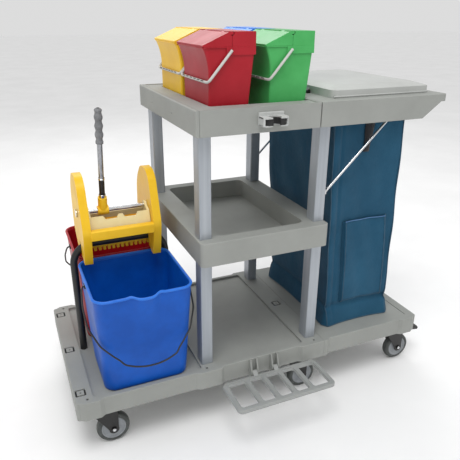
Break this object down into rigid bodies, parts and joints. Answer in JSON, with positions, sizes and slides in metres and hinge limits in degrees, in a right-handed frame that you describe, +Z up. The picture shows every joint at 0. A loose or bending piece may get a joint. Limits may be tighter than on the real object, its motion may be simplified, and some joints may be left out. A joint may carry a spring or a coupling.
{
  "type": "housekeeping cart",
  "caption": "Wheeled janitorial cart with mop buckets and press wringer, shelf, lidded pails, fabric waste bag under a hinged lid, and a fold-out rack.",
  "frame": {"origin": "on the floor, under the middle of the whole cart's footprint", "axes": "+X along the deck towards the waste bag, +Y from the front to the back, +Z up"},
  "size_m": [1.261, 0.7548, 1.168],
  "materials": {
    "grey_moulding": "fine matt moulded grain",
    "light_grey_moulding": "smooth light grey moulding",
    "aluminium_post": "satin extruded aluminium",
    "bright_steel": "bright plated steel",
    "zinc_steel": "dull plated steel",
    "black_steel": "black coated pressed steel",
    "black_rubber": "matt black rubber",
    "wheel_tyre": "grey rubber tread on a grey core",
    "bag_cloth": "coated woven cloth",
    "blue_plastic": "smooth blue moulding",
    "red_plastic": "smooth red moulding",
    "green_plastic": "smooth green moulding",
    "yellow_plastic": "smooth yellow moulding",
    "cream_plastic": "cream moulding",
    "grey_grip": "soft grey grip",
    "pale_bail": "pale grey moulding"
  },
  "bodies": {
    "cart": {"deck_main": "grey_moulding", "deck_end": "grey_moulding", "caster_plates": "zinc_steel", "post_front_left": "aluminium_post", "post_rear_left": "aluminium_post", "post_front_right": "aluminium_post", "post_rear_right": "aluminium_post", "mid_shelf": "grey_moulding", "top_tray": "grey_moulding", "tray_end_cap": "grey_moulding", "clip_body": "grey_moulding", "clip_jaws": "black_rubber", "bag_frame": "grey_moulding", "stay_rods": "bright_steel", "waste_bag": "bag_cloth", "hinge_pins": "zinc_steel", "screws": "zinc_steel", "mop_bucket_blue": "blue_plastic", "mop_bucket_red": "red_plastic", "wringer_stand": "black_steel"},
    "fork_front_left": {"fork_front_left": "black_steel"},
    "wheel_front_left": {"wheel_front_left": "wheel_tyre"},
    "fork_front_middle": {"fork_front_middle": "black_steel"},
    "wheel_front_middle": {"wheel_front_middle": "wheel_tyre"},
    "fork_front_right": {"fork_front_right": "black_steel"},
    "wheel_front_right": {"wheel_front_right": "wheel_tyre"},
    "brake_pedal_front": {"brake_pedal_front": "black_steel"},
    "fork_rear_left": {"fork_rear_left": "black_steel"},
    "wheel_rear_left": {"wheel_rear_left": "wheel_tyre"},
    "fork_rear_middle": {"fork_rear_middle": "black_steel"},
    "wheel_rear_middle": {"wheel_rear_middle": "wheel_tyre"},
    "fork_rear_right": {"fork_rear_right": "black_steel"},
    "wheel_rear_right": {"wheel_rear_right": "wheel_tyre"},
    "brake_pedal_rear": {"brake_pedal_rear": "black_steel"},
    "bag_lid": {"bag_lid": "light_grey_moulding"},
    "rack": {"footrest_rack": "grey_moulding"},
    "pail_red": {"pail_tub_red": "red_plastic", "pail_cap_red": "red_plastic"},
    "flap_red": {"pail_flap_red": "red_plastic"},
    "bail_red": {"pail_bail_red": "pale_bail"},
    "pail_yellow": {"pail_tub_yellow": "yellow_plastic", "pail_cap_yellow": "yellow_plastic"},
    "flap_yellow": {"pail_flap_yellow": "yellow_plastic"},
    "bail_yellow": {"pail_bail_yellow": "pale_bail"},
    "pail_green": {"pail_tub_green": "green_plastic", "pail_cap_green": "green_plastic"},
    "flap_green": {"pail_flap_green": "green_plastic"},
    "bail_green": {"pail_bail_green": "pale_bail"},
    "pail_blue": {"pail_tub_blue": "blue_plastic", "pail_cap_blue": "blue_plastic"},
    "flap_blue": {"pail_flap_blue": "blue_plastic"},
    "bail_blue": {"pail_bail_blue": "pale_bail"},
    "mop_bail_blue": {"mop_bail_blue": "black_steel"},
    "mop_bail_red": {"mop_bail_red": "black_steel"},
    "wringer": {"wringer_frame": "yellow_plastic", "wringer_shaft": "bright_steel"},
    "wringer_lever": {"lever_socket": "yellow_plastic", "lever_tube": "zinc_steel", "lever_grip": "grey_grip"},
    "press_plate": {"press_plate": "cream_plastic"}
  },
  "joints": [
    {"name": "caster_swivel_front_left", "type": "hinge", "parent": "cart", "child": "fork_front_left", "pos_m": [-0.5525, -0.16841, 0.128], "axis": [0, 0, 1], "continuous": true},
    {"name": "wheel_spin_front_left", "type": "hinge", "parent": "fork_front_left", "child": "wheel_front_left", "pos_m": [-0.5275, -0.16841, 0.05], "axis": [0, 1, 0], "continuous": true},
    {"name": "caster_swivel_front_middle", "type": "hinge", "parent": "cart", "child": "fork_front_middle", "pos_m": [0.1025, -0.16841, 0.128], "axis": [0, 0, 1], "continuous": true},
    {"name": "wheel_spin_front_middle", "type": "hinge", "parent": "fork_front_middle", "child": "wheel_front_middle", "pos_m": [0.1275, -0.16841, 0.05], "axis": [0, 1, 0], "continuous": true},
    {"name": "caster_swivel_front_right", "type": "hinge", "parent": "cart", "child": "fork_front_right", "pos_m": [0.5165, -0.16841, 0.128], "axis": [0, 0, 1], "continuous": true},
    {"name": "wheel_spin_front_right", "type": "hinge", "parent": "fork_front_right", "child": "wheel_front_right", "pos_m": [0.5415, -0.16841, 0.05], "axis": [0, 1, 0], "continuous": true},
    {"name": "brake_front", "type": "hinge", "parent": "fork_front_right", "child": "brake_pedal_front", "pos_m": [0.5505, -0.16841, 0.1235], "axis": [0, 1, 0], "range_deg": [0, 8]},
    {"name": "caster_swivel_rear_left", "type": "hinge", "parent": "cart", "child": "fork_rear_left", "pos_m": [-0.5525, 0.27359, 0.128], "axis": [0, 0, 1], "continuous": true},
    {"name": "wheel_spin_rear_left", "type": "hinge", "parent": "fork_rear_left", "child": "wheel_rear_left", "pos_m": [-0.5275, 0.27359, 0.05], "axis": [0, 1, 0], "continuous": true},
    {"name": "caster_swivel_rear_middle", "type": "hinge", "parent": "cart", "child": "fork_rear_middle", "pos_m": [0.1025, 0.27359, 0.128], "axis": [0, 0, 1], "continuous": true},
    {"name": "wheel_spin_rear_middle", "type": "hinge", "parent": "fork_rear_middle", "child": "wheel_rear_middle", "pos_m": [0.1275, 0.27359, 0.05], "axis": [0, 1, 0], "continuous": true},
    {"name": "caster_swivel_rear_right", "type": "hinge", "parent": "cart", "child": "fork_rear_right", "pos_m": [0.5165, 0.27359, 0.128], "axis": [0, 0, 1], "continuous": true},
    {"name": "wheel_spin_rear_right", "type": "hinge", "parent": "fork_rear_right", "child": "wheel_rear_right", "pos_m": [0.5415, 0.27359, 0.05], "axis": [0, 1, 0], "continuous": true},
    {"name": "brake_rear", "type": "hinge", "parent": "fork_rear_right", "child": "brake_pedal_rear", "pos_m": [0.5505, 0.27359, 0.1235], "axis": [0, 1, 0], "range_deg": [0, 8]},
    {"name": "bag_lid_hinge", "type": "hinge", "parent": "cart", "child": "bag_lid", "pos_m": [0.1655, 0.05259, 0.995], "axis": [0, -1, 0], "range_deg": [0, 95]},
    {"name": "rack_hinge", "type": "hinge", "parent": "cart", "child": "rack", "pos_m": [-0.049, -0.23541, 0.163], "axis": [-1, 0, 0], "range_deg": [0, 90]},
    {"name": "pail_lift_red", "type": "slide", "parent": "cart", "child": "pail_red", "axis": [0, 0, 1], "range_m": [0, 0.25]},
    {"name": "pail_flap_red", "type": "hinge", "parent": "pail_red", "child": "flap_red", "pos_m": [-0.1335, -0.04941, 1.164], "axis": [0, 1, 0], "range_deg": [0, 95]},
    {"name": "pail_bail_red", "type": "hinge", "parent": "pail_red", "child": "bail_red", "pos_m": [-0.1355, -0.04941, 1.123], "axis": [0, 1, 0], "range_deg": [0, 140]},
    {"name": "pail_lift_yellow", "type": "slide", "parent": "cart", "child": "pail_yellow", "axis": [0, 0, 1], "range_m": [0, 0.25]},
    {"name": "pail_flap_yellow", "type": "hinge", "parent": "pail_yellow", "child": "flap_yellow", "pos_m": [-0.1335, 0.17759, 1.164], "axis": [0, 1, 0], "range_deg": [0, 95]},
    {"name": "pail_bail_yellow", "type": "hinge", "parent": "pail_yellow", "child": "bail_yellow", "pos_m": [-0.1355, 0.17759, 1.123], "axis": [0, 1, 0], "range_deg": [0, 140]},
    {"name": "pail_lift_green", "type": "slide", "parent": "cart", "child": "pail_green", "axis": [0, 0, 1], "range_m": [0, 0.25]},
    {"name": "pail_flap_green", "type": "hinge", "parent": "pail_green", "child": "flap_green", "pos_m": [0.0435, -0.04941, 1.164], "axis": [0, 1, 0], "range_deg": [0, 95]},
    {"name": "pail_bail_green", "type": "hinge", "parent": "pail_green", "child": "bail_green", "pos_m": [0.0415, -0.04941, 1.123], "axis": [0, 1, 0], "range_deg": [0, 140]},
    {"name": "pail_lift_blue", "type": "slide", "parent": "cart", "child": "pail_blue", "axis": [0, 0, 1], "range_m": [0, 0.25]},
    {"name": "pail_flap_blue", "type": "hinge", "parent": "pail_blue", "child": "flap_blue", "pos_m": [0.0435, 0.17759, 1.164], "axis": [0, 1, 0], "range_deg": [0, 95]},
    {"name": "pail_bail_blue", "type": "hinge", "parent": "pail_blue", "child": "bail_blue", "pos_m": [0.0415, 0.17759, 1.123], "axis": [0, 1, 0], "range_deg": [0, 140]},
    {"name": "mop_bail_blue", "type": "hinge", "parent": "cart", "child": "mop_bail_blue", "pos_m": [-0.4155, -0.09241, 0.498], "axis": [-1, 0, 0], "range_deg": [0, 135]},
    {"name": "mop_bail_red", "type": "hinge", "parent": "cart", "child": "mop_bail_red", "pos_m": [-0.4155, 0.19959, 0.498], "axis": [1, 0, 0], "range_deg": [0, 135]},
    {"name": "wringer_lift", "type": "slide", "parent": "cart", "child": "wringer", "axis": [0, 0, 1], "range_m": [0, 0.2]},
    {"name": "lever_hinge", "type": "hinge", "parent": "wringer", "child": "wringer_lever", "pos_m": [-0.4635, 0.04759, 0.666], "axis": [1, 0, 0], "range_deg": [0, 60]},
    {"name": "press_hinge", "type": "hinge", "parent": "wringer", "child": "press_plate", "pos_m": [-0.4175, 0.04759, 0.666], "axis": [1, 0, 0], "range_deg": [0, 60]}
  ],
  "couplings": [
    {"joint": "press_hinge", "follows": "lever_hinge", "ratio": 1}
  ]
}
